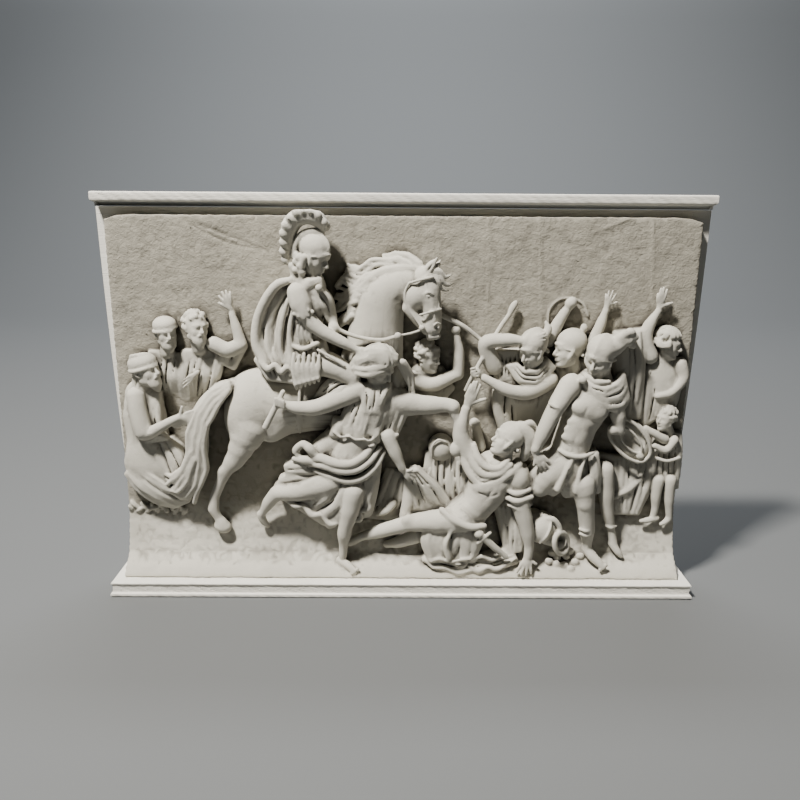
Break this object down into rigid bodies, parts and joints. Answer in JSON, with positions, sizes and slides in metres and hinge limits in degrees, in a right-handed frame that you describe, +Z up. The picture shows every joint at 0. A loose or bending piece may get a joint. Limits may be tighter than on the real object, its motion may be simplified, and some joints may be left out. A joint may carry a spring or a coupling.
{
  "type": "framed plaster relief",
  "caption": "Table-top plaster relief of a mounted warrior among soldiers and elders, set on a moulded plinth with a back board and a cap slab.",
  "frame": {"origin": "middle of the underside of the plinth", "axes": "+X along the width, +Y towards the flat back, +Z up; the carved face looks along -Y"},
  "size_m": [0.3, 0.0364, 0.202],
  "materials": {
    "cast_plaster": "matte, slightly grained cast plaster, darker in the hollows",
    "smooth_plaster": "matte, run and trowelled plaster"
  },
  "bodies": {
    "root": {"relief_panel": "cast_plaster", "plinth": "smooth_plaster", "back_board": "smooth_plaster", "cap_slab": "smooth_plaster"}
  },
  "joints": []
}
